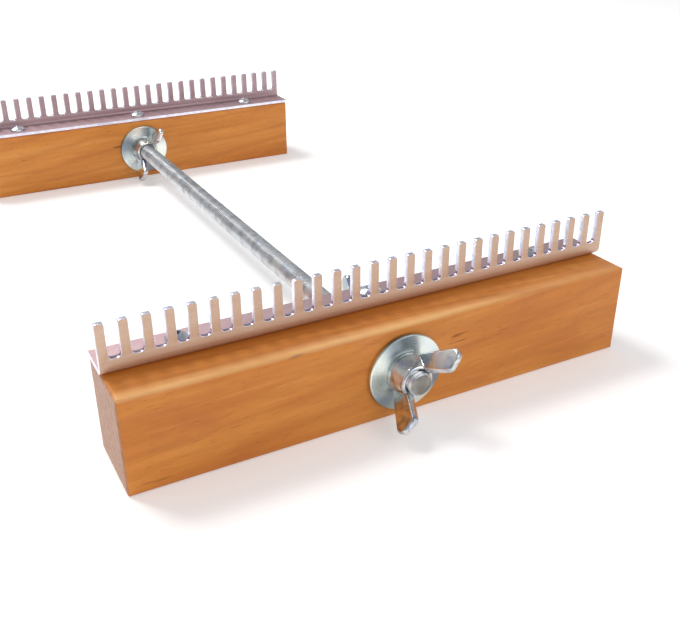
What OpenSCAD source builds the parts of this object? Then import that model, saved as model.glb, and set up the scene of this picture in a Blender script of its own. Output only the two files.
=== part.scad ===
// Small tapestry loom: two wooden bars, each with a slotted metal comb on top, held apart by one
// threaded rod. Wing nuts with washers clamp each bar from inside and outside.
// X runs along the bars, Y along the rod with the front bar at -Y, and Z = 0 is the table.

/* [Bars] */
// Depth of each bar, along the rod
bar_d = 27; // [24:0.5:36]
// Height of each bar
bar_h = 31; // [31:0.5:42]
// Radius of the eased bar edges
bar_edge_r = 1.2; // [0.4:0.1:3]
// Hole through each bar for the rod
bar_bore_d = 8.8; // [8.6:0.1:10]

/* [Combs] */
// Number of slots in each comb
comb_slots = 27; // [15:2:41]
// Distance from slot to slot, four to the inch
comb_pitch = 6.35; // [5.4:0.05:8]
// Width of one slot
slot_w = 3.97; // [2.8:0.01:4.4]
// Depth of one slot
slot_depth = 10.8; // [6:0.1:11.4]
// Corner radius at the bottom of a slot
slot_r = 1.2; // [0.4:0.1:1.35]
// Corner radius at the top of a tooth
tip_r = 0.55; // [0.2:0.05:0.9]
// Height of the tooth tips above the bar
comb_rise = 16; // [15:0.1:24]
// Thickness of the comb's sheet metal
comb_t = 1.6; // [1:0.1:2]
// Inner radius of the comb's bend
bend_r = 1.4; // [0.5:0.1:2]
// Width of the flange that lies on the bar
flange_w = 14.3; // [13.5:0.1:18]

/* [Rod] */
// Length of the threaded rod
rod_l = 317.5; // [240:0.5:420]
// Outer diameter of the rod's thread
rod_d = 7.94; // [7.5:0.01:8.1]
// Chamfer on the rod's ends
rod_chamfer = 0.7; // [0.3:0.1:1.2]
// How far the rod stands out of the outer wing nuts
rod_proud = 1.8; // [1:0.1:10]

/* [Washers] */
// Outer diameter of a washer
washer_d = 25.4; // [20:0.1:28]
// Hole in a washer
washer_bore_d = 8.8; // [8.6:0.1:10]
// Thickness of a washer
washer_t = 1.6; // [1:0.1:2.5]

/* [Wing nuts] */
// Diameter of the nut's round body where it bears on the washer
boss_d = 14; // [12.5:0.1:15]
// Diameter of the nut's body at its outer face
boss_top_d = 11; // [10.4:0.1:12]
// Height of the nut's body
boss_h = 6.4; // [5.5:0.1:8]
// Distance from wing tip to wing tip
wing_span = 30; // [27:0.1:30.5]
// Height of the wings above the washer
wing_h = 15; // [12:0.1:18]
// Thickness of a wing at its tip
wing_tip_t = 2.5; // [1.8:0.1:3]
// Thickness of a wing where it leaves the body
wing_root_t = 3.6; // [2.6:0.1:4.6]
// Rest angle of the front outer nut's wings, from +X towards +Z
front_outer_angle = 50; // [0:1:180]
// Rest angle of the front inner nut's wings
front_inner_angle = 77; // [0:1:180]
// Rest angle of the rear inner nut's wings
rear_inner_angle = 62; // [0:1:180]
// Rest angle of the rear outer nut's wings
rear_outer_angle = 118; // [0:1:180]

/* [Comb screws] */
// Distance of the outer screws from the comb's ends
screw_inset = 24; // [16:0.5:32]
// Diameter of a screw's shank
screw_d = 3.5; // [2.8:0.1:4]
// Length of a screw under its head
screw_l = 9.5; // [8:0.1:11]
// Diameter of a screw's pan head
head_d = 7.2; // [6:0.1:8]
// Height of a screw's head
head_h = 2.3; // [1.8:0.1:3]
// Width of one arm of the cross recess
recess_w = 1; // [0.7:0.05:1.3]

/* [Hidden] */
$fn = 96;

// Running clearance of the nuts on the rod, and of the screws in their holes
nut_fit = 0.05;
screw_fit = 0.05;
comb_hole_fit = 0.3;
// How far a cutter reaches past the face it cuts
cut = 1;

// The comb is as long as its slots and the teeth between them, and the bar is cut flush with it
tooth_w = comb_pitch - slot_w;
comb_l = comb_slots * comb_pitch + tooth_w;
bar_l = comb_l;
bend_outer_r = bend_r + comb_t;

// Stations along the rod, measured from the middle of the loom
outer_stack = washer_t + boss_h + rod_proud;
bar_outer_y = rod_l / 2 - outer_stack;
bar_inner_y = bar_outer_y - bar_d;
rod_z = bar_h / 2;

// The screws go through the middle of the flange's flat part
screw_y = (bend_outer_r + flange_w) / 2;
screw_tip_l = screw_d;
screw_point_d = 0.4;
head_edge_h = 1;
recess_depth = 1.6;
recess_span = 3.6;
recess_floor_d = 1.6;
recess_turn = 20;

// Body of a nut: an upright collar, a cone, a rounded shoulder and a chamfered thread
boss_collar_h = 1.2;
boss_shoulder_r = 1;
nut_chamfer = 0.5;

// Radii of a wing's four corner discs, and of its rounded rim
wing_tip_r = 2.4;
wing_crest_r = 1.4;
wing_root_r = 1.2;
wing_round = 0.5;
// How far the tip's disc stays below the crest, and the crest's disc stands out from the body
wing_tip_drop = 0.3;
wing_crest_out = 3.9;
// How far the root's discs stand out of the body, and the lower one above the washer
wing_low_out = 0.3;
wing_low_rise = 0.5;
wing_high_out = 0.2;
// Centres of the discs, as distance from the nut's axis and height above the washer
wing_tip_at = [wing_span / 2 - wing_tip_r, wing_h - wing_tip_drop - wing_tip_r];
wing_crest_at = [boss_top_d / 2 + wing_crest_out, wing_h - wing_crest_r];
wing_low_at = [boss_d / 2 + wing_low_out - wing_root_r, wing_low_rise + wing_root_r];
wing_high_at = [boss_top_d / 2 + wing_high_out - wing_root_r, boss_h - wing_root_r];

module wood() {
    color([0.76, 0.44, 0.2]) children();
}

module sheet_metal() {
    color([0.8, 0.72, 0.7]) children();
}

module zinc() {
    color([0.72, 0.75, 0.76]) children();
}

// Outline with round corners, centred
module rounded_outline(w, h, r) {
    square([w - 2 * r, h], center = true);
    square([w, h - 2 * r], center = true);
    for (x = [-1, 1], y = [-1, 1]) {
        translate([x * (w / 2 - r), y * (h / 2 - r)]) circle(r);
    }
}

// Places a child of the front end at the rear end, turned by half a turn
module at_rear() {
    rotate([0, 0, 180]) children();
}

// Places something modelled on +Z so that it points from the bar to the outside of the front end
module outward(y) {
    translate([0, -y, rod_z]) rotate([90, 0, 0]) children();
}

// Places something modelled on +Z so that it points from the front bar to the rear bar
module inward(y) {
    translate([0, -y, rod_z]) rotate([-90, 0, 0]) children();
}

// Wooden bar with every edge eased, drilled for the rod and for the comb's screws
module bar() {
    difference() {
        translate([0, -(bar_outer_y + bar_inner_y) / 2, bar_h / 2]) intersection() {
            rotate([90, 0, 90]) linear_extrude(bar_l, center = true)
                rounded_outline(bar_d, bar_h, bar_edge_r);
            rotate([90, 0, 0]) linear_extrude(bar_d, center = true)
                rounded_outline(bar_l, bar_h, bar_edge_r);
            linear_extrude(bar_h, center = true)
                rounded_outline(bar_l, bar_d, bar_edge_r);
        }
        outward(bar_inner_y - cut) cylinder(d = bar_bore_d, h = bar_d + 2 * cut);
        for (side = [-1, 0, 1]) at_screw(side) translate([0, 0, -comb_t]) {
            translate([0, 0, -screw_l]) cylinder(d = screw_d + 2 * screw_fit, h = screw_l + cut);
        }
    }
}

// Origin at the comb's toothed face, on the bar's top
module at_comb() {
    translate([0, -bar_inner_y - flange_w, bar_h]) children();
}

// Origin at the underside of the screw's head: side is -1, 0 or 1
module at_screw(side) {
    at_comb() translate([side * (comb_l / 2 - screw_inset), screw_y, comb_t]) children();
}

// Cutter for one slot, open at the top and with rounded corners at the bottom
module slot_outline() {
    translate([-slot_w / 2 + slot_r, 0]) square([slot_w - 2 * slot_r, slot_depth + cut]);
    translate([-slot_w / 2, slot_r]) square([slot_w, slot_depth + cut - slot_r]);
    for (x = [-1, 1]) translate([x * (slot_w / 2 - slot_r), slot_r]) circle(slot_r);
}

// Front view of the toothed flange: a plate with its slots cut and its tooth corners rounded
module toothed_outline() {
    difference() {
        translate([-comb_l / 2, bend_outer_r]) square([comb_l, comb_rise - bend_outer_r]);
        for (i = [0 : comb_slots - 1]) {
            translate([(i - (comb_slots - 1) / 2) * comb_pitch, comb_rise - slot_depth]) slot_outline();
        }
        for (i = [0 : comb_slots]) {
            translate([(i - comb_slots / 2) * comb_pitch, comb_rise]) tip_corners();
        }
    }
}

// What rounding takes off the two top corners of a tooth
module tip_corners() {
    for (x = [-1, 1]) difference() {
        translate([x * tooth_w / 2, 0]) square(2 * tip_r, center = true);
        translate([x * (tooth_w / 2 - tip_r), -tip_r]) circle(tip_r);
    }
}

// Bent sheet: toothed flange upright, screw flange lying on the bar, and the bend between them
module comb() {
    difference() {
        at_comb() {
            translate([0, comb_t, 0]) rotate([90, 0, 0]) linear_extrude(comb_t) toothed_outline();
            translate([-comb_l / 2, bend_outer_r, 0]) cube([comb_l, flange_w - bend_outer_r, comb_t]);
            translate([-comb_l / 2, bend_outer_r, bend_outer_r]) rotate([0, 90, 0]) bend();
        }
        for (side = [-1, 0, 1]) at_screw(side) {
            translate([0, 0, -comb_t - cut])
                cylinder(d = screw_d + 2 * comb_hole_fit, h = comb_t + 2 * cut);
        }
    }
}

// A quarter of a pipe along Z, the lower outer quarter once it is laid along X
module bend() {
    intersection() {
        difference() {
            cylinder(r = bend_outer_r, h = comb_l);
            translate([0, 0, -cut]) cylinder(r = bend_r, h = comb_l + 2 * cut);
        }
        translate([0, -bend_outer_r - cut, -cut])
            cube([bend_outer_r + cut, bend_outer_r + cut, comb_l + 2 * cut]);
    }
}

// Pan-head screw with a cross recess, its head's underside at the origin
module comb_screw() {
    difference() {
        union() {
            pan_head();
            translate([0, 0, screw_tip_l - screw_l]) cylinder(d = screw_d, h = screw_l - screw_tip_l);
            translate([0, 0, -screw_l]) cylinder(d1 = screw_point_d, d2 = screw_d, h = screw_tip_l);
        }
        translate([0, 0, head_h - recess_depth]) intersection() {
            cylinder(d1 = recess_floor_d, d2 = recess_span, h = recess_depth + cut);
            for (a = [0, 90]) rotate([0, 0, a + recess_turn])
                translate([-recess_span, -recess_w / 2, 0]) cube([recess_span * 2, recess_w, head_h + cut]);
        }
    }
}

// Head with an upright edge below and a low dome above
module pan_head() {
    dome_rise = head_h - head_edge_h;
    dome_r = (head_d * head_d / 4 + dome_rise * dome_rise) / (2 * dome_rise);
    cylinder(d = head_d, h = head_edge_h);
    intersection() {
        translate([0, 0, head_h - dome_r]) sphere(dome_r);
        translate([0, 0, head_edge_h / 2]) cylinder(d = head_d, h = head_h);
    }
}

// Flat round washer, its inner face at the origin
module washer() {
    difference() {
        cylinder(d = washer_d, h = washer_t);
        translate([0, 0, -cut]) cylinder(d = washer_bore_d, h = washer_t + 2 * cut);
    }
}

// Forged wing nut, its bearing face at the origin and its wings along X
module wing_nut() {
    difference() {
        union() {
            boss();
            for (turn = [0, 180]) rotate([0, 0, turn]) wing();
        }
        translate([0, 0, -cut]) cylinder(r = rod_d / 2 + nut_fit, h = boss_h + 2 * cut);
        translate([0, 0, boss_h - nut_chamfer])
            cylinder(r1 = rod_d / 2, r2 = rod_d / 2 + 2 * nut_chamfer, h = 2 * nut_chamfer);
    }
}

// Round body of the nut: a short collar, then a cone with a rounded shoulder
module boss() {
    rotate_extrude() {
        square([boss_d / 2, boss_collar_h]);
        polygon([
            [0, 0], [boss_d / 2, boss_collar_h], [boss_top_d / 2, boss_h - boss_shoulder_r],
            [boss_top_d / 2 - boss_shoulder_r, boss_h], [0, boss_h]
        ]);
        translate([boss_top_d / 2 - boss_shoulder_r, boss_h - boss_shoulder_r])
            circle(boss_shoulder_r);
    }
}

// One wing, thick where it leaves the body and thin at the tip
module wing() {
    hull() {
        wing_disc(wing_low_at, wing_root_r, wing_root_t);
        wing_disc(wing_high_at, wing_root_r, wing_root_t);
        wing_disc(wing_crest_at, wing_crest_r, wing_tip_t);
        wing_disc(wing_tip_at, wing_tip_r, wing_tip_t);
    }
}

// Disc with a rounded rim, lying in the plane of the wing
module wing_disc(at, r, t) {
    translate([at[0], 0, at[1]]) rotate([90, 0, 0]) {
        cylinder(r = r, h = t - 2 * wing_round, center = true, $fn = 32);
        cylinder(r = r - wing_round, h = t, center = true, $fn = 32);
    }
}

module threaded_rod() {
    zinc() translate([0, 0, rod_z]) rotate([90, 0, 0]) {
        cylinder(d = rod_d, h = rod_l - 2 * rod_chamfer, center = true);
        for (end = [0, 180]) rotate([end, 0, 0]) translate([0, 0, rod_l / 2 - rod_chamfer])
            cylinder(d1 = rod_d, d2 = rod_d - 2 * rod_chamfer, h = rod_chamfer);
    }
}

module front_bar() {
    wood() bar();
}

module front_comb() {
    sheet_metal() comb();
}

module front_comb_screw(side) {
    zinc() at_screw(side) comb_screw();
}

module front_inner_washer() {
    zinc() inward(bar_inner_y) washer();
}

module front_inner_wing_nut() {
    zinc() inward(bar_inner_y - washer_t) rotate([0, 0, -front_inner_angle]) wing_nut();
}

module front_outer_washer() {
    zinc() outward(bar_outer_y) washer();
}

module front_outer_wing_nut() {
    zinc() outward(bar_outer_y + washer_t) rotate([0, 0, front_outer_angle]) wing_nut();
}

module rear_bar() {
    at_rear() front_bar();
}

module rear_comb() {
    at_rear() front_comb();
}

module rear_comb_screw(side) {
    at_rear() front_comb_screw(-side);
}

module rear_inner_washer() {
    at_rear() front_inner_washer();
}

module rear_inner_wing_nut() {
    zinc() at_rear() inward(bar_inner_y - washer_t) rotate([0, 0, rear_inner_angle]) wing_nut();
}

module rear_outer_washer() {
    at_rear() front_outer_washer();
}

module rear_outer_wing_nut() {
    zinc() at_rear() outward(bar_outer_y + washer_t) rotate([0, 0, -rear_outer_angle]) wing_nut();
}

threaded_rod();
front_bar();
front_comb();
front_comb_screw(-1);  // front_comb_screw_left
front_comb_screw(0);  // front_comb_screw_middle
front_comb_screw(1);  // front_comb_screw_right
front_inner_washer();
front_inner_wing_nut();
front_outer_washer();
front_outer_wing_nut();
rear_bar();
rear_comb();
rear_comb_screw(-1);  // rear_comb_screw_left
rear_comb_screw(0);  // rear_comb_screw_middle
rear_comb_screw(1);  // rear_comb_screw_right
rear_inner_washer();
rear_inner_wing_nut();
rear_outer_washer();
rear_outer_wing_nut();
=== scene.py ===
"""Looks of a small tapestry loom: two oiled wooden bars, each with a slotted sheet-metal comb,
held apart by a threaded rod and clamped with bright zinc wing nuts and washers.

The loom's sizes are in millimetres and turn into metres where a mesh is made. The camera, the
lights and places on a texture are in metres, and texture frequencies are per metre. X runs along
the bars, Y along the rod, and Z = 0 is the table."""
import math

import bpy
from mathutils import Matrix, Vector

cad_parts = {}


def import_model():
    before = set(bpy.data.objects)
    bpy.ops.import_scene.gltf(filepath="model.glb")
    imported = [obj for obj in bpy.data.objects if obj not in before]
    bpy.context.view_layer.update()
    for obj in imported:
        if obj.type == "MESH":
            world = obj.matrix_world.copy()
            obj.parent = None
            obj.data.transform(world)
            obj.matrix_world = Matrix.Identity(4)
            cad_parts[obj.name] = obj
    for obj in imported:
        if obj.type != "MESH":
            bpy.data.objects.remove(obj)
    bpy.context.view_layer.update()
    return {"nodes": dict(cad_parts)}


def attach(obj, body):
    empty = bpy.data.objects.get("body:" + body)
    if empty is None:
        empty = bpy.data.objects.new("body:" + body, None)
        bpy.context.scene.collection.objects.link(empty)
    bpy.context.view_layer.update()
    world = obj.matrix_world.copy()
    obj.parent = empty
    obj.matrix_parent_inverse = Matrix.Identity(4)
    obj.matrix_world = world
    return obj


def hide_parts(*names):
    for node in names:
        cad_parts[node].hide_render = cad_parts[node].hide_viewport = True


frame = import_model()

MM = 0.001

# ---------------------------------------------------------------- sizes of the rod and its thread
ROD_L = 317.5
ROD_D = 7.94
ROD_Z = 15.5
ROD_CHAMFER = 0.7
ROD_SEGMENTS = 36
THREAD_PITCH = 25.4 / 18
THREAD_DEPTH = 0.8
CREST_ROUND = 0.06
ROOT_ROUND = 0.05
# One turn of the thread: share of the pitch, depth below the crest
THREAD_PROFILE = (
    (0.00, CREST_ROUND), (0.07, 0.0), (0.18, 0.0), (0.25, CREST_ROUND),
    (0.55, THREAD_DEPTH - ROOT_ROUND), (0.62, THREAD_DEPTH),
    (0.68, THREAD_DEPTH), (0.75, THREAD_DEPTH - ROOT_ROUND))

# ---------------------------------------------------------------- sizes of the bars and combs
BAR_H = 31.0
BAR_INNER_Y = 121.95
BAR_OUTER_Y = 148.95

COMB_SLOTS = 27
COMB_PITCH = 6.35
SLOT_W = 3.6
SLOT_DEPTH = 10.8
SLOT_R = 1.2
TIP_R = 0.55
COMB_RISE = 16.0
COMB_T = 1.6
BEND_R = 1.4
BEND_STEPS = 8
FLANGE_W = 14.3
TOOTH_W = COMB_PITCH - SLOT_W
COMB_L = COMB_SLOTS * COMB_PITCH + TOOTH_W
BEND_OUTER_R = BEND_R + COMB_T

# The sheet's edges are eased by a quarter round of this radius, in two steps: inset, depth
EDGE = 0.12
EDGE_MIDDLE = 0.293
EDGE_STEPS = ((EDGE, 0.0), (EDGE * EDGE_MIDDLE, EDGE * EDGE_MIDDLE), (0.0, EDGE))

# A tooth's tip and a slot's floor have two rounded corners each
TIP_STEPS = 4
SLOT_STEPS = 6
TIP_POINTS = 2 * (TIP_STEPS + 1)
SLOT_POINTS = 2 * (SLOT_STEPS + 1)

# ---------------------------------------------------------------- sizes of the washers and nuts
WASHER_D = 25.4
WASHER_BORE_D = 8.8
WASHER_T = 1.6
WASHER_ROLL = 0.5
WASHER_EASE = 0.18
WASHER_ROLL_STEPS = 5
WASHER_SEGMENTS = 96

NUT_VOXEL = 0.20
NUT_SMOOTHING = 0.5
NUT_SMOOTHING_ROUNDS = 3

# ---------------------------------------------------------------- camera and stage, in metres
# The camera was solved from the photo: the comb's 28 evenly spaced teeth and the bar's corners
CAMERA_LENS = 45.66
CAMERA_SENSOR = 36.0
CAMERA_CLIP = (0.01, 50.0)
CAMERA_AT = (-0.1228, -0.3391, 0.1501)
CAMERA_FORWARD = (0.417, 0.786, -0.456)
CAMERA_UP = (0.2188, 0.4002, 0.8899)

FLOOR_HALF = 8.0
PAPER_GLOW = 0.22
# Room light from below the horizon to overhead: position on the ramp, level
ROOM_LEVELS = ((0.0, 0.66), (0.35, 0.52), (1.0, 0.36))
ROOM_BLUE = 1.03

# Where a painted highlight lies along a bar's long upper outer edge: from, to, outwards from the
# rod's middle and up
EDGE_HIGHLIGHT_Y = (0.1440, 0.1482)
EDGE_HIGHLIGHT_Z = (0.0298, 0.0309)


def make_camera():
    data = bpy.data.cameras.new("camera")
    data.lens = CAMERA_LENS
    data.sensor_fit = "HORIZONTAL"
    data.sensor_width = CAMERA_SENSOR
    data.clip_start, data.clip_end = CAMERA_CLIP
    camera = bpy.data.objects.new("camera", data)
    bpy.context.scene.collection.objects.link(camera)
    forward = Vector(CAMERA_FORWARD).normalized()
    right = forward.cross(Vector(CAMERA_UP)).normalized()
    up = right.cross(forward)
    turn = Matrix((right, up, -forward)).transposed().to_4x4()
    camera.matrix_world = Matrix.Translation(CAMERA_AT) @ turn
    bpy.context.scene.camera = camera


make_camera()
bpy.context.scene.view_settings.view_transform = "Standard"


# ---------------------------------------------------------------- node helpers
# A Mix node has its own sockets for each data type: these are the ones for colour
MIX_A, MIX_B, MIX_RESULT = 6, 7, 2


def rgb(*values):
    return (*values, 1.0)


def set_stops(ramp, stops):
    """Gives a Color Ramp node its stops of (position, colour)."""
    elements = ramp.color_ramp.elements
    while len(elements) < len(stops):
        elements.new(0.5)
    for element, (position, colour) in zip(elements, stops):
        element.position = position
        element.color = rgb(*colour)


class Nodes:
    """A node material being built: add() makes a node and sets or links its inputs."""

    def __init__(self, name):
        self.material = bpy.data.materials.new(name)
        self.material.use_nodes = True
        self.tree = self.material.node_tree
        self.shader = self.tree.nodes["Principled BSDF"]

    def put(self, socket, value):
        if isinstance(value, bpy.types.NodeSocket):
            self.tree.links.new(value, socket)
        else:
            socket.default_value = value

    def add(self, kind, inputs=None, **settings):
        node = self.tree.nodes.new(kind)
        for key, value in settings.items():
            setattr(node, key, value)
        for key, value in (inputs or {}).items():
            self.put(node.inputs[key], value)
        return node

    def coordinate(self, kind="Object"):
        return self.add("ShaderNodeTexCoord").outputs[kind]

    def split(self, vector):
        return self.add("ShaderNodeSeparateXYZ", {"Vector": vector}).outputs

    def join(self, **parts):
        return self.add("ShaderNodeCombineXYZ", parts).outputs["Vector"]

    def length(self, vector):
        return self.add("ShaderNodeVectorMath", {0: vector}, operation="LENGTH").outputs["Value"]

    def math(self, operation, a, b=0.0):
        return self.add("ShaderNodeMath", {0: a, 1: b}, operation=operation).outputs[0]

    def noise(self, vector, scale, detail, rough, distortion=0.0):
        node = self.add("ShaderNodeTexNoise", {
            "Vector": vector, "Scale": scale, "Detail": detail, "Roughness": rough,
            "Distortion": distortion})
        return node.outputs["Fac"]

    def stretch(self, vector, scale, rotation=(0, 0, 0), location=(0, 0, 0)):
        node = self.add("ShaderNodeMapping", {
            "Vector": vector, "Scale": scale, "Rotation": rotation, "Location": location})
        return node.outputs["Vector"]

    def grain(self, vector, along, across, detail, rough, distortion=0.0):
        """Noise drawn out along X, from its frequencies along X and across it."""
        drawn = self.stretch(vector, (along, across, across))
        return self.noise(drawn, 1.0, detail, rough, distortion)

    def remap(self, value, low, high, to_low=0.0, to_high=1.0):
        node = self.add("ShaderNodeMapRange", {
            "Value": value, "From Min": low, "From Max": high, "To Min": to_low, "To Max": to_high})
        return node.outputs["Result"]

    def ramp(self, factor, stops):
        node = self.add("ShaderNodeValToRGB", {"Fac": factor})
        set_stops(node, stops)
        return node.outputs["Color"]

    def mix(self, factor, a, b):
        node = self.add("ShaderNodeMix", data_type="RGBA")
        self.put(node.inputs["Factor"], factor)
        self.put(node.inputs[MIX_A], a)
        self.put(node.inputs[MIX_B], b)
        return node.outputs[MIX_RESULT]

    def stain(self, colour, mask, low, high, strength, shade):
        """Lays a shade over a colour, from nothing where the mask is low to strength at high."""
        return self.mix(self.remap(mask, low, high, 0.0, strength), colour, rgb(*shade))

    def bump(self, height, strength, distance_mm, below=None):
        inputs = {"Height": height, "Strength": strength, "Distance": distance_mm * MM}
        if below is not None:
            inputs["Normal"] = below
        return self.add("ShaderNodeBump", inputs).outputs["Normal"]

    def finish(self, **inputs):
        for key, value in inputs.items():
            self.put(self.shader.inputs[key.replace("_", " ").title().replace("Ior", "IOR")], value)
        return self.material


# ---------------------------------------------------------------- materials
def wood_material(name, shift):
    """Oiled cherry: growth rings about a slightly tilted heart, long fibres, pores, dark flecks."""
    ring_frequency = 1150.0
    ring_wander = 0.030
    ring_sharpness = 5.0
    tilt = (0.03, 0.045, 0.07)
    fleck_lean = (0, 0.02, 0)

    n = Nodes(name)
    here = n.coordinate()
    place = n.stretch(here, (1, 1, 1), tilt, shift)
    parts = n.split(place)
    warp = n.noise(n.stretch(place, (3.0, 14.0, 14.0)), 1.6, 3.0, 0.5)
    radius = n.length(n.join(Y=parts["Y"], Z=parts["Z"]))
    wander = n.math("MULTIPLY", n.math("SUBTRACT", warp, 0.5), ring_wander)
    phase = n.math("MULTIPLY", n.math("ADD", radius, wander), ring_frequency)
    rings = n.remap(n.math("SINE", phase), -1.0, 1.0)
    late_wood = n.math("POWER", rings, ring_sharpness)
    fibre = n.grain(place, 5.0, 480.0, 6.0, 0.62)
    long_fibre = n.grain(place, 4.0, 95.0, 4.0, 0.55)
    cloud = n.grain(place, 10.0, 34.0, 3.0, 0.5, 0.6)
    pores = n.grain(place, 190.0, 2300.0, 2.0, 0.5)
    flecks = n.noise(n.stretch(place, (42.0, 330.0, 330.0), fleck_lean), 1.0, 2.0, 0.5)
    blush = n.grain(place, 16.0, 70.0, 3.0, 0.6, 1.2)

    tone = n.math("ADD", n.math("MULTIPLY", long_fibre, 0.45), n.math("MULTIPLY", cloud, 0.55))
    colour = n.ramp(tone, [
        (0.30, (0.480, 0.140, 0.020)), (0.46, (0.640, 0.220, 0.034)),
        (0.58, (0.710, 0.275, 0.050)), (0.72, (0.800, 0.370, 0.095))])
    for mask, low, high, strength, shade in (
            (blush, 0.56, 0.72, 0.45, (0.50, 0.135, 0.040)),
            (late_wood, 0.0, 1.0, 0.24, (0.42, 0.105, 0.020)),
            (fibre, 0.40, 0.72, 0.38, (0.46, 0.145, 0.028)),
            (fibre, 0.42, 0.28, 0.20, (0.86, 0.46, 0.17)),
            (pores, 0.60, 0.78, 0.50, (0.30, 0.080, 0.018)),
            (flecks, 0.715, 0.770, 0.80, (0.22, 0.055, 0.014))):
        colour = n.stain(colour, mask, low, high, strength, shade)

    # A painted highlight: a pale, grain-streaked band along the long upper outer edges, standing in
    # for light catching the oiled edge
    where = n.split(here)
    outwards = n.remap(n.math("ABSOLUTE", where["Y"]), *EDGE_HIGHLIGHT_Y)
    painted_highlight = n.math("MULTIPLY", outwards, n.remap(where["Z"], *EDGE_HIGHLIGHT_Z))
    streaks = n.remap(long_fibre, 0.35, 0.60, 0.25, 0.75)
    colour = n.mix(n.math("MULTIPLY", painted_highlight, streaks), colour, rgb(0.98, 0.62, 0.27))

    # End grain drinks more oil and scatters more light, so it is duller and rosier
    end_colour = n.ramp(n.grain(place, 60.0, 900.0, 4.0, 0.6), [
        (0.30, (0.330, 0.160, 0.100)), (0.55, (0.440, 0.240, 0.160)),
        (0.75, (0.520, 0.300, 0.215))])
    end_colour = n.stain(end_colour, late_wood, 0.0, 1.0, 0.45, (0.30, 0.13, 0.07))
    facing = n.math("ABSOLUTE", n.split(n.coordinate("Normal"))["X"])
    colour = n.mix(n.remap(facing, 0.55, 0.95, 0.0, 0.85), colour, end_colour)

    normal = n.bump(pores, 0.25, 0.05, n.bump(fibre, 0.35, 0.08))
    rough = n.remap(fibre, 0.3, 0.8, 0.36, 0.52)
    return n.finish(base_color=colour, roughness=rough, normal=normal, coat_weight=0.05,
                    coat_roughness=0.28, specular_ior_level=0.30)


def sheet_material(name, dark, light, line, metal):
    """Mill-finish sheet: satin in the given colours, which carry painted reflections of the room,
    faint rolling lines along X, specks.
    """
    n = Nodes(name)
    here = n.coordinate()
    rolled = n.grain(here, 22.0, 1500.0, 5.0, 0.6)
    speck = n.grain(here, 900.0, 900.0, 3.0, 0.6)
    cloud = n.grain(here, 30.0, 60.0, 3.0, 0.5)
    colour = n.ramp(cloud, [(0.3, dark), (0.7, light)])
    colour = n.stain(colour, speck, 0.58, 0.75, 0.30, (0.86, 0.78, 0.72))
    colour = n.stain(colour, rolled, 0.50, 0.75, 0.35, line)
    rough = n.remap(rolled, 0.3, 0.7, 0.44, 0.56)
    normal = n.bump(speck, 0.15, 0.02, n.bump(rolled, 0.30, 0.02))
    return n.finish(base_color=colour, roughness=rough, metallic=metal, normal=normal)


def cut_edge_material(name, dark, light):
    """Sheared and deburred edges of the sheet, with fine cross lines; the given colours carry
    painted light, a painted blue-white reflection on the bright edges and painted shade on the slot
    floors.
    """
    n = Nodes(name)
    here = n.coordinate()
    lines = n.noise(n.stretch(here, (700.0, 90.0, 700.0)), 1.0, 4.0, 0.6)
    colour = n.ramp(n.noise(here, 420.0, 3.0, 0.5), [(0.3, dark), (0.7, light)])
    rough = n.remap(lines, 0.3, 0.7, 0.24, 0.38)
    normal = n.bump(lines, 0.30, 0.02)
    return n.finish(base_color=colour, roughness=rough, metallic=1.0, normal=normal)


def zinc_material(name, dark, light, rough_low, rough_high, tint):
    """Bright zinc plate: cool grey, passivation colours at the strength of tint, soft dents."""
    n = Nodes(name)
    here = n.coordinate()
    fine = n.noise(here, 2200.0, 3.0, 0.6)
    dents = n.noise(here, 330.0, 2.0, 0.5)
    colour = n.ramp(n.noise(here, 190.0, 4.0, 0.55, 0.8), [(0.40, dark), (0.56, light)])
    film = n.ramp(n.noise(here, 120.0, 2.0, 0.5, 1.5), [
        (0.36, (0.52, 0.58, 0.86)), (0.47, (0.70, 0.76, 0.74)), (0.56, (0.80, 0.80, 0.62)),
        (0.66, (0.74, 0.56, 0.60))])
    colour = n.mix(tint, colour, film)
    rough = n.remap(fine, 0.3, 0.7, rough_low, rough_high)
    normal = n.bump(fine, 0.12, 0.02, n.bump(dents, 0.35, 0.10))
    return n.finish(base_color=colour, roughness=rough, metallic=1.0, normal=normal)


def washer_material():
    """Zinc-plated washer: a painted reflection in light and dark lobes that turn round the axis,
    and circular polishing lines.
    """
    painted_reflection_lobes = 3.0
    painted_reflection_turn = (-1.94, 0.26)
    polish_frequency = 5200.0

    n = Nodes("washer_zinc")
    here = n.coordinate()
    parts = n.split(here)
    # Painted reflection: the colour swings between dark and light in lobes round the axis
    angle = n.math("ARCTAN2", parts["Y"], parts["X"])
    wobble = n.remap(n.noise(here, 90.0, 2.0, 0.5), 0.0, 1.0, *painted_reflection_turn)
    painted_reflection = n.math("SINE", n.math("ADD", n.math("MULTIPLY", angle, painted_reflection_lobes), wobble))
    radius = n.length(n.join(X=parts["X"], Y=parts["Y"]))
    lines = n.noise(n.join(X=n.math("MULTIPLY", radius, polish_frequency)), 1.0, 3.0, 0.6)
    colour = n.ramp(n.remap(painted_reflection, -1.0, 1.0), [
        (0.05, (0.13, 0.17, 0.20)), (0.30, (0.36, 0.42, 0.43)), (0.55, (0.58, 0.64, 0.62)),
        (0.90, (0.74, 0.80, 0.76))])
    film = n.ramp(n.noise(here, 70.0, 2.0, 0.5, 1.2), [
        (0.38, (0.52, 0.62, 0.78)), (0.60, (0.80, 0.82, 0.68))])
    colour = n.mix(0.22, colour, film)
    rough = n.remap(lines, 0.3, 0.7, 0.20, 0.32)
    normal = n.bump(lines, 0.22, 0.02)
    return n.finish(base_color=colour, roughness=rough, metallic=1.0, normal=normal)


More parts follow.
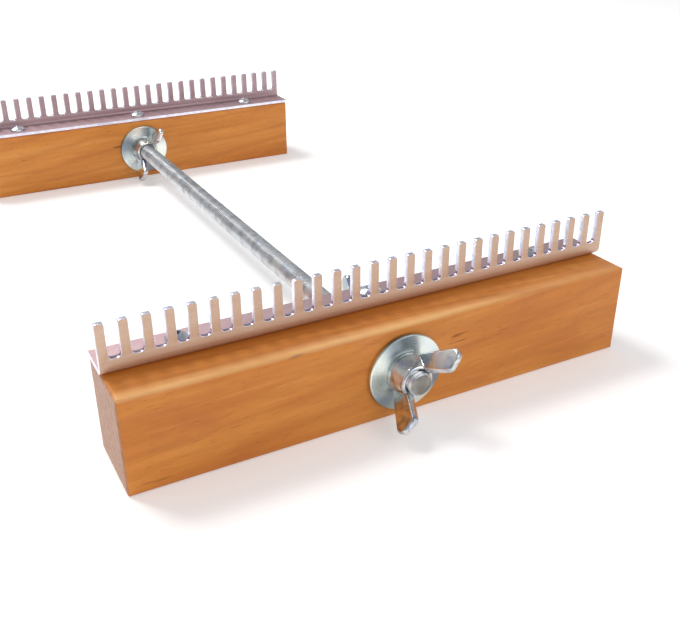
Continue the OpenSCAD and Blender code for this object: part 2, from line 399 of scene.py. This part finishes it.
FRONT_WOOD = wood_material("bar_wood_front", (0.0, 0.062, 0.030))
REAR_WOOD = wood_material("bar_wood_rear", (0.31, -0.205, 0.055))
# The outer faces' warm tan is partly a painted reflection of the room
SHEET = sheet_material("comb_sheet", (0.610, 0.420, 0.305), (0.690, 0.500, 0.375),
                       (0.500, 0.340, 0.245), 0.55)
# The inner faces get a mauve copy of the same mill finish: a painted reflection of the ceiling
SHEET_PAINTED_MAUVE_REFLECTION = sheet_material("comb_sheet_painted_mauve_reflection", (0.400, 0.270, 0.290), (0.500, 0.360, 0.380),
                             (0.330, 0.210, 0.225), 0.65)
# Bright sheared metal on the cut edges, tinted with a painted blue-white reflection of a window
CUT_EDGE_PAINTED_REFLECTION = cut_edge_material("comb_cut_edge_painted_reflection", (0.64, 0.65, 0.80), (0.88, 0.89, 0.97))
# The slot floors take a dark mauve copy of the cut edge: painted shade deep in the slots
SLOT_FLOOR_PAINTED_SHADE = cut_edge_material("comb_slot_floor_painted_shade", (0.22, 0.16, 0.21), (0.40, 0.33, 0.42))
NUT_ZINC = zinc_material("nut_zinc", (0.24, 0.26, 0.31), (0.78, 0.81, 0.82), 0.14, 0.26, 0.35)
SCREW_ZINC = zinc_material("screw_zinc", (0.46, 0.52, 0.62), (0.76, 0.82, 0.88), 0.16, 0.28, 0.25)
ROD_END = zinc_material("rod_end", (0.22, 0.21, 0.19), (0.34, 0.33, 0.30), 0.42, 0.55, 0.0)
ROD_ZINC = zinc_material("rod_zinc", (0.40, 0.42, 0.45), (0.62, 0.64, 0.66), 0.30, 0.42, 0.12)
WASHER_ZINC = washer_material()

# Which of its materials a face takes, on the rod and on a comb
ROD_MATERIALS = (ROD_ZINC, ROD_END)
THREAD, CUT_END = range(2)
COMB_MATERIALS = (SHEET, CUT_EDGE_PAINTED_REFLECTION, SHEET_PAINTED_MAUVE_REFLECTION, SLOT_FLOOR_PAINTED_SHADE)
OUTER_FACE, EDGE_FACE, INNER_FACE, PAINTED_SHADE_SLOT_FACE = range(4)


# ---------------------------------------------------------------- mesh helpers
def make_piece(name, verts, faces, materials, indices=None, sharp_angle=38.0, place=None):
    """A smooth-shaded mesh from millimetre points, sharp where faces meet at a steep angle."""
    mesh = bpy.data.meshes.new(name)
    mesh.from_pydata([(x * MM, y * MM, z * MM) for x, y, z in verts], [], faces)
    for material in materials:
        mesh.materials.append(material)
    if indices is not None:
        for polygon, index in zip(mesh.polygons, indices):
            polygon.material_index = index
    mesh.validate()
    mesh.shade_smooth()
    mesh.set_sharp_from_angle(angle=math.radians(sharp_angle))
    piece = bpy.data.objects.new(name, mesh)
    bpy.context.scene.collection.objects.link(piece)
    if place is not None:
        piece.matrix_world = place
    return piece


def stand_for(piece, node, body):
    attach(piece, body)
    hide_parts(node)


def both_ends():
    """The loom's ends and their turns: the rear end is the front one turned by half a turn."""
    return (("front", Matrix.Rotation(0, 4, "Z")), ("rear", Matrix.Rotation(math.pi, 4, "Z")))


def revolved(profile, segments):
    """Points and faces of a closed profile of (radius, height) turned about Z."""
    count = len(profile)
    verts = []
    for i in range(segments):
        a = 2 * math.pi * i / segments
        verts += [(r * math.cos(a), r * math.sin(a), h) for r, h in profile]
    faces = []
    for i in range(segments):
        here = i * count
        there = (i + 1) % segments * count
        for j in range(count):
            k = (j + 1) % count
            faces.append((here + j, there + j, there + k, here + k))
    return verts, faces


def corner(cx, cy, r, start, end, steps):
    """Points of an arc, angles in degrees."""
    points = []
    for i in range(steps + 1):
        a = math.radians(start + (end - start) * i / steps)
        points.append((cx + r * math.cos(a), cy + r * math.sin(a)))
    return points


# ---------------------------------------------------------------- threaded rod
def threaded_rod():
    """A right-hand helical thread with rolled crests, cut to length with chamfered ends."""
    outer = ROD_D / 2
    half = ROD_L / 2
    angles = [2 * math.pi * i / ROD_SEGMENTS for i in range(ROD_SEGMENTS)]

    # The rows start a turn before one end and stop past the other, so that the helix covers both
    turns = int(ROD_L / THREAD_PITCH) + 3
    rows = [((turn - 1 + share) * THREAD_PITCH - half, outer - depth)
            for turn in range(turns) for share, depth in THREAD_PROFILE]
    verts = []
    for y, r in rows:
        for i, a in enumerate(angles):
            # A right-hand thread climbs towards +Y as it turns by the right-hand rule about +Y
            at_y = min(max(y + THREAD_PITCH * i / ROD_SEGMENTS, -half), half)
            at_r = min(r, outer - ROD_CHAMFER + (half - abs(at_y)))
            verts.append((at_r * math.sin(a), at_y, at_r * math.cos(a) + ROD_Z))

    # A row's last point joins the first point of the row that lies one turn further on
    faces = []
    turn_rows = len(THREAD_PROFILE)
    for row in range(len(rows) - 1):
        for i in range(ROD_SEGMENTS):
            a = row * ROD_SEGMENTS + i
            if i + 1 < ROD_SEGMENTS:
                b = a + 1
            elif row + 1 + turn_rows < len(rows):
                b = (row + turn_rows) * ROD_SEGMENTS
            else:
                continue
            faces.append((a, a + ROD_SEGMENTS, b + ROD_SEGMENTS, b))
    kinds = [THREAD] * len(faces)

    end_r = outer - ROD_CHAMFER
    for side in (-1, 1):
        centre = len(verts)
        verts.append((0, side * half, ROD_Z))
        verts += [(end_r * math.sin(a), side * half, end_r * math.cos(a) + ROD_Z) for a in angles]
        for i in range(ROD_SEGMENTS):
            pair = (centre + 1 + i, centre + 1 + (i + 1) % ROD_SEGMENTS)
            faces.append((centre, *(pair if side < 0 else pair[::-1])))
            kinds.append(CUT_END)
    piece = make_piece("rod_thread", verts, faces, ROD_MATERIALS, kinds, sharp_angle=50.0)
    stand_for(piece, "threaded_rod", "rod")


# ---------------------------------------------------------------- combs
def plate_outline(inset):
    """Front view of the toothed flange, drawn in by inset, from its lower right end round."""
    points = [(COMB_L / 2 - inset, BEND_OUTER_R)]
    for i in range(COMB_SLOTS, -1, -1):
        x = (i - COMB_SLOTS / 2) * COMB_PITCH
        half = TOOTH_W / 2 - inset
        top = COMB_RISE - inset
        r = TIP_R - inset
        points += corner(x + half - r, top - r, r, 0, 90, TIP_STEPS)
        points += corner(x - half + r, top - r, r, 90, 180, TIP_STEPS)
        if i > 0:
            x = (i - 0.5 - COMB_SLOTS / 2) * COMB_PITCH
            half = SLOT_W / 2 + inset
            low = COMB_RISE - SLOT_DEPTH - inset
            r = SLOT_R + inset
            points += corner(x + half - r, low + r, r, 0, -90, SLOT_STEPS)
            points += corner(x - half + r, low + r, r, -90, -180, SLOT_STEPS)
    points.append((-COMB_L / 2 + inset, BEND_OUTER_R))
    return points


def comb_mesh():
    """Bent sheet: the toothed flange upright, the bend, and the flange lying on the bar."""
    verts = []
    faces = []
    kinds = []
    layers = [(depth, inset) for inset, depth in EDGE_STEPS]
    layers += [(COMB_T - depth, inset) for inset, depth in reversed(EDGE_STEPS)]
    loops = []
    for depth, inset in layers:
        outline = plate_outline(inset)
        loops.append(range(len(verts), len(verts) + len(outline)))
        verts += [(x, depth, z) for x, z in outline]
    faces.append(tuple(reversed(loops[0])))
    faces.append(tuple(loops[-1]))
    kinds += [OUTER_FACE, INNER_FACE]
    for step, (near, far) in enumerate(zip(loops, loops[1:])):
        # The middle step is the sheet's cut wall, between the two eased edges
        wall = step == len(EDGE_STEPS) - 1
        for i in range(len(near) - 1):
            faces.append((near[i], near[i + 1], far[i + 1], far[i]))
            # The cut wall round a slot's floor takes painted shade
            in_slot = (i - 1) % (TIP_POINTS + SLOT_POINTS) >= TIP_POINTS
            kinds.append(PAINTED_SHADE_SLOT_FACE if wall and in_slot else EDGE_FACE)

    def section(place, shrink=0.0):
        """A ring of points round the sheet's cross-section, where place turns depth into y, z."""
        ring = []
        for side, order in ((1, layers), (-1, layers[::-1])):
            for depth, inset in order:
                y, z = place(min(max(depth, shrink), COMB_T - shrink))
                ring.append(len(verts))
                verts.append((side * (COMB_L / 2 - max(inset, shrink)), y, z))
        return ring

    def on_bend(share):
        a = math.pi / 2 * share
        return lambda depth: (BEND_OUTER_R - (BEND_OUTER_R - depth) * math.cos(a),
                              BEND_OUTER_R - (BEND_OUTER_R - depth) * math.sin(a))

    # Stations from the plate's lower edge through the bend to the flange's far edge
    stations = [section(on_bend(k / BEND_STEPS)) for k in range(BEND_STEPS + 1)]
    stations.append(section(lambda depth: (FLANGE_W - EDGE, depth)))
    stations.append(section(lambda depth: (FLANGE_W, depth), EDGE))
    count = len(stations[0])
    broad_faces = {count // 2 - 1: INNER_FACE, count - 1: OUTER_FACE}
    for near, far in zip(stations, stations[1:]):
        for i in range(count):
            k = (i + 1) % count
            faces.append((near[i], far[i], far[k], near[k]))
            kinds.append(broad_faces.get(i, EDGE_FACE))
    faces.append(tuple(reversed(stations[-1])))
    kinds.append(EDGE_FACE)
    return verts, faces, kinds


def combs():
    verts, faces, kinds = comb_mesh()
    place = Matrix.Translation((0, (-BAR_INNER_Y - FLANGE_W) * MM, BAR_H * MM))
    for end, turn in both_ends():
        piece = make_piece(end + "_comb_sheet", verts, faces, COMB_MATERIALS, kinds,
                           place=turn @ place)
        stand_for(piece, end + "_comb", end + "_bar")


# ---------------------------------------------------------------- washers
def washer_profile():
    """Stamped washer: rolled edge outside on top, small burr edges below."""
    inner = WASHER_BORE_D / 2
    outer = WASHER_D / 2
    ease = WASHER_EASE
    points = [(inner + ease, 0.0), (outer - ease, 0.0), (outer, ease)]
    points += corner(outer - WASHER_ROLL, WASHER_T - WASHER_ROLL, WASHER_ROLL, 0, 90,
                     WASHER_ROLL_STEPS)
    points += [(inner + 2 * ease, WASHER_T), (inner, WASHER_T - 2 * ease), (inner, ease)]
    return points


def washers():
    verts, faces = revolved(washer_profile(), WASHER_SEGMENTS)
    sides = (("outer", BAR_OUTER_Y, math.pi / 2), ("inner", BAR_INNER_Y, -math.pi / 2))
    for end, turn in both_ends():
        for side, y, tip in sides:
            node = end + "_" + side + "_washer"
            place = Matrix.Translation((0, -y * MM, ROD_Z * MM)) @ Matrix.Rotation(tip, 4, "X")
            piece = make_piece(node + "_stamped", verts, faces, [WASHER_ZINC], place=turn @ place)
            stand_for(piece, node, node)


# ---------------------------------------------------------------- carried-over CAD nodes
def dress(node, material):
    mesh = frame["nodes"][node].data
    mesh.materials.clear()
    mesh.materials.append(material)


def forge(node):
    """Rounds a nut's edges and fills its inner corners, as forging and plating leave them."""
    piece = frame["nodes"][node]
    remesh = piece.modifiers.new("forged_skin", "REMESH")
    remesh.mode = "VOXEL"
    remesh.voxel_size = NUT_VOXEL * MM
    remesh.use_smooth_shade = True
    soften = piece.modifiers.new("forged_edges", "SMOOTH")
    soften.factor = NUT_SMOOTHING
    soften.iterations = NUT_SMOOTHING_ROUNDS


threaded_rod()
combs()
washers()
dress("front_bar", FRONT_WOOD)
dress("rear_bar", REAR_WOOD)
for end in ("front", "rear"):
    for side in ("left", "middle", "right"):
        dress(end + "_comb_screw_" + side, SCREW_ZINC)
    for side in ("inner", "outer"):
        dress(end + "_" + side + "_wing_nut", NUT_ZINC)
        forge(end + "_" + side + "_wing_nut")


# ---------------------------------------------------------------- floor and light
def floor():
    verts = [(x * FLOOR_HALF, y * FLOOR_HALF, 0.0) for x, y in ((-1, -1), (1, -1), (1, 1), (-1, 1))]
    mesh = bpy.data.meshes.new("floor")
    mesh.from_pydata(verts, [], [(0, 1, 2, 3)])
    n = Nodes("floor_paper")
    paper = n.ramp(n.noise(n.coordinate(), 900.0, 2.0, 0.55), [
        (0.3, (0.93, 0.93, 0.93)), (0.7, (0.96, 0.96, 0.96))])
    # The paper shows as white to the eye and in metal, and still takes the shadow
    path = n.add("ShaderNodeLightPath").outputs
    seen = n.math("MAXIMUM", path["Is Camera Ray"],
                  n.math("MAXIMUM", path["Is Glossy Ray"], path["Is Transmission Ray"]))
    mesh.materials.append(n.finish(
        base_color=paper, roughness=0.9, specular_ior_level=0.1,
        emission_color=rgb(1.0, 1.0, 1.0), emission_strength=n.math("MULTIPLY", seen, PAPER_GLOW)))
    plane = bpy.data.objects.new("floor", mesh)
    bpy.context.scene.collection.objects.link(plane)


def area_light(name, at, target, size, power, colour):
    data = bpy.data.lights.new(name, "AREA")
    data.shape = "RECTANGLE"
    data.size, data.size_y = size
    data.energy = power
    data.color = colour
    lamp = bpy.data.objects.new(name, data)
    bpy.context.scene.collection.objects.link(lamp)
    aim = (Vector(target) - Vector(at)).to_track_quat("-Z", "Y").to_matrix().to_4x4()
    lamp.matrix_world = Matrix.Translation(at) @ aim


def world():
    """Soft room light: paler near the horizon, darker overhead."""
    data = bpy.data.worlds.new("studio")
    bpy.context.scene.world = data
    data.use_nodes = True
    tree = data.node_tree
    background = tree.nodes["Background"]
    here = tree.nodes.new("ShaderNodeTexCoord")
    parts = tree.nodes.new("ShaderNodeSeparateXYZ")
    ramp = tree.nodes.new("ShaderNodeValToRGB")
    set_stops(ramp, [(at, (level, level, level * ROOM_BLUE)) for at, level in ROOM_LEVELS])
    tree.links.new(here.outputs["Generated"], parts.inputs["Vector"])
    tree.links.new(parts.outputs["Z"], ramp.inputs["Fac"])
    tree.links.new(ramp.outputs["Color"], background.inputs["Color"])
    background.inputs["Strength"].default_value = 1.0


floor()
world()
area_light("key", at=(-0.40, 0.70, 1.15), target=(0.0, -0.05, 0.02), size=(0.6, 0.6),
           power=15.0, colour=(1.0, 0.985, 0.96))
area_light("fill", at=(0.35, -1.25, 0.85), target=(0.0, -0.1, 0.02), size=(1.2, 0.7),
           power=6.0, colour=(1.0, 1.0, 1.0))
